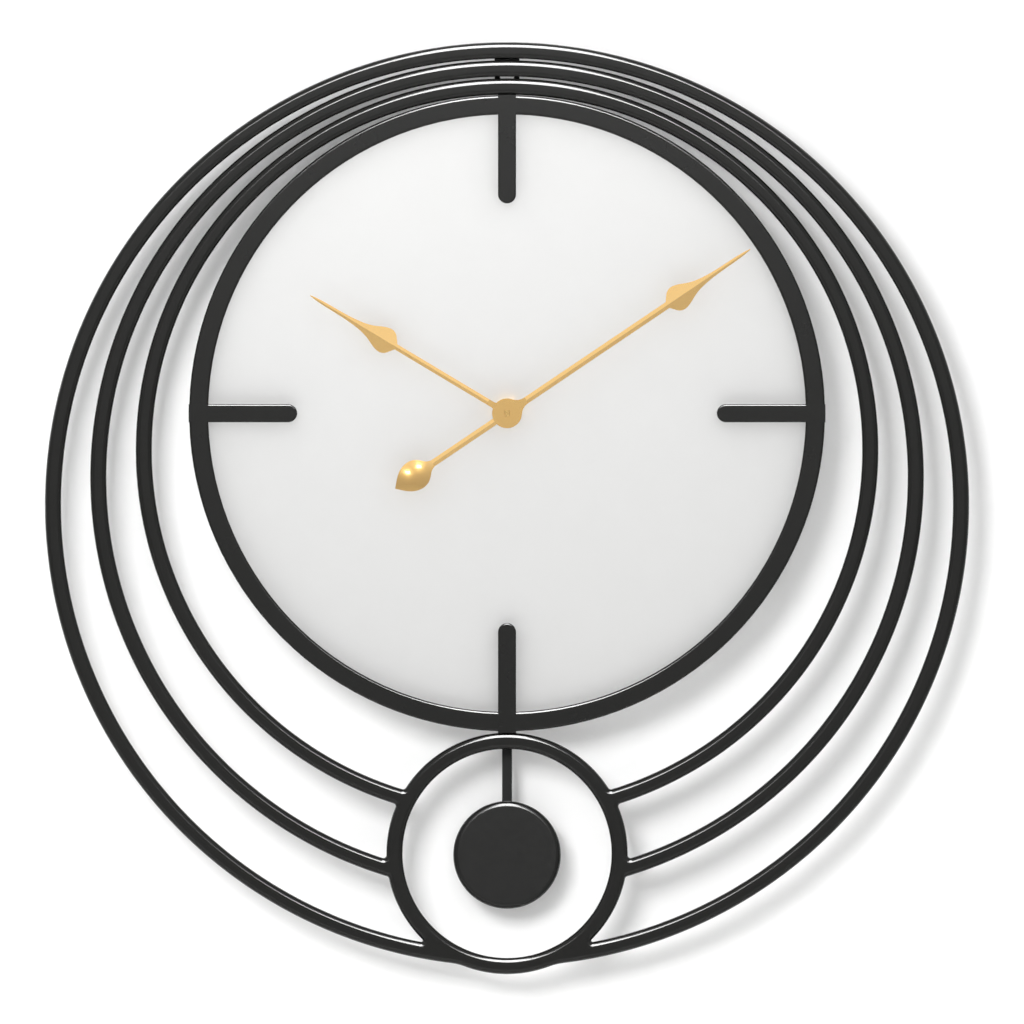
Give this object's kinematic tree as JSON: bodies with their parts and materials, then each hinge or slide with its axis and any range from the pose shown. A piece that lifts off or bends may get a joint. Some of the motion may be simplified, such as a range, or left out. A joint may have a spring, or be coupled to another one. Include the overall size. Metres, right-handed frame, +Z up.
{
  "type": "pendulum wall clock",
  "caption": "Round wall clock with nested open metal rings around a pale dial, tapered gold hands and a small ring below framing a swinging pendulum bob.",
  "frame": {"origin": "the point of the wall plane straight behind the top of the hanging slot, where the nail bears", "axes": "+X to the right, +Y into the wall, +Z up; the dial faces -Y"},
  "size_m": [0.5, 0.0355, 0.5041],
  "materials": {
    "frame_paint": "satin black powder coat",
    "dial_ring_paint": "satin black powder coat",
    "dial_paint": "matt off-white paint on steel sheet",
    "hand_gold": "bright gold plate, lacquered",
    "bob_paint": "satin charcoal paint",
    "bob_back_paint": "matt charcoal paint",
    "dark_steel": "blackened",
    "pad_felt": "soft matt",
    "case_plastic": "fine moulded texture",
    "wheel_plastic": "natural acetal",
    "knob_plastic": "moulded",
    "rubber": "matt",
    "brass": "turned",
    "magnet_black": "sintered",
    "motor_steel": "stamped",
    "bobbin_plastic": "moulded",
    "copper_wire": "enamelled winding",
    "board_green": "solder mask",
    "chip_black": "moulded resin",
    "crystal_can": "drawn can",
    "cell_jacket": "shrink sleeve, plain",
    "spring_steel": "nickel plate",
    "pin_steel": "ground",
    "leader_plastic": "moulded",
    "rod_steel": "satin black paint"
  },
  "bodies": {
    "frame": {"pendulum_ring": "frame_paint", "inner_ring": "frame_paint", "middle_ring": "frame_paint", "outer_ring": "frame_paint", "dial_ring": "dial_ring_paint", "hour_bar_twelve": "dial_ring_paint", "hour_bar_three": "dial_ring_paint", "hour_bar_six": "dial_ring_paint", "hour_bar_nine": "dial_ring_paint", "dial_plate": "dial_paint", "dial_screws": "dark_steel", "hanging_plate": "frame_paint", "wall_spacers": "frame_paint", "wall_pads": "pad_felt", "movement_case": "case_plastic", "rear_cover": "case_plastic", "train_bridge": "wheel_plastic", "rubber_washer": "rubber", "brass_washer": "brass", "fixing_nut": "brass", "stator": "motor_steel", "coil_core": "motor_steel", "motor_bobbin": "bobbin_plastic", "motor_winding": "copper_wire", "circuit_board": "board_green", "control_chip": "chip_black", "quartz_crystal": "crystal_can", "battery": "cell_jacket", "negative_contact": "spring_steel", "positive_contact": "spring_steel", "pivot_pin": "pin_steel", "drive_bobbin": "bobbin_plastic", "drive_winding": "copper_wire"},
    "pendulum": {"pendulum_leader": "leader_plastic", "pendulum_magnet": "magnet_black", "pendulum_rod": "rod_steel", "bob_front": "bob_paint", "bob_back": "bob_back_paint", "bob_screws": "dark_steel"},
    "minute_hand": {"minute_hand": "hand_gold", "minute_shaft": "brass"},
    "hour_hand": {"hour_hand": "hand_gold", "hour_wheel": "wheel_plastic"},
    "minute_wheel": {"minute_wheel": "wheel_plastic"},
    "setting_knob": {"setting_arbor": "knob_plastic", "setting_knob": "knob_plastic"},
    "centre_wheel": {"centre_wheel": "wheel_plastic"},
    "third_wheel": {"third_wheel": "wheel_plastic"},
    "second_wheel": {"second_wheel": "wheel_plastic"},
    "middle_wheel": {"middle_wheel": "wheel_plastic"},
    "rotor": {"rotor_pinion": "wheel_plastic", "rotor_magnet": "magnet_black"}
  },
  "joints": [
    {"name": "pendulum_swing", "type": "hinge", "parent": "frame", "child": "pendulum", "pos_m": [0, -0.0103, -0.231], "axis": [0, 1, 0], "range_deg": [-6, 6]},
    {"name": "minute_turn", "type": "hinge", "parent": "frame", "child": "minute_hand", "pos_m": [0, -0.025, -0.189], "axis": [0, 1, 0], "continuous": true},
    {"name": "hour_turn", "type": "hinge", "parent": "frame", "child": "hour_hand", "pos_m": [0, -0.02, -0.189], "axis": [0, 1, 0], "continuous": true},
    {"name": "minute_wheel_turn", "type": "hinge", "parent": "frame", "child": "minute_wheel", "pos_m": [0.005, -0.013, -0.19766], "axis": [0, 1, 0], "continuous": true},
    {"name": "setting_turn", "type": "hinge", "parent": "frame", "child": "setting_knob", "pos_m": [0.015, -0.01, -0.19766], "axis": [0, 1, 0], "continuous": true},
    {"name": "centre_wheel_turn", "type": "hinge", "parent": "frame", "child": "centre_wheel", "pos_m": [0, -0.009, -0.189], "axis": [0, 1, 0], "continuous": true},
    {"name": "third_wheel_turn", "type": "hinge", "parent": "frame", "child": "third_wheel", "pos_m": [0.0051, -0.0066, -0.18017], "axis": [0, 1, 0], "continuous": true},
    {"name": "second_wheel_turn", "type": "hinge", "parent": "frame", "child": "second_wheel", "pos_m": [0, -0.0048, -0.189], "axis": [0, 1, 0], "continuous": true},
    {"name": "middle_wheel_turn", "type": "hinge", "parent": "frame", "child": "middle_wheel", "pos_m": [-0.00958, -0.0066, -0.19249], "axis": [0, 1, 0], "continuous": true},
    {"name": "rotor_turn", "type": "hinge", "parent": "frame", "child": "rotor", "pos_m": [-0.01546, -0.0084, -0.19035], "axis": [0, 1, 0], "continuous": true}
  ],
  "couplings": [
    {"joint": "hour_turn", "follows": "minute_turn", "ratio": 0.083333},
    {"joint": "minute_wheel_turn", "follows": "minute_turn", "ratio": -0.33333},
    {"joint": "setting_turn", "follows": "minute_turn", "ratio": 1},
    {"joint": "centre_wheel_turn", "follows": "minute_turn", "ratio": 1},
    {"joint": "third_wheel_turn", "follows": "minute_turn", "ratio": -7.5},
    {"joint": "second_wheel_turn", "follows": "minute_turn", "ratio": 60},
    {"joint": "middle_wheel_turn", "follows": "minute_turn", "ratio": -450},
    {"joint": "rotor_turn", "follows": "minute_turn", "ratio": 1800}
  ]
}
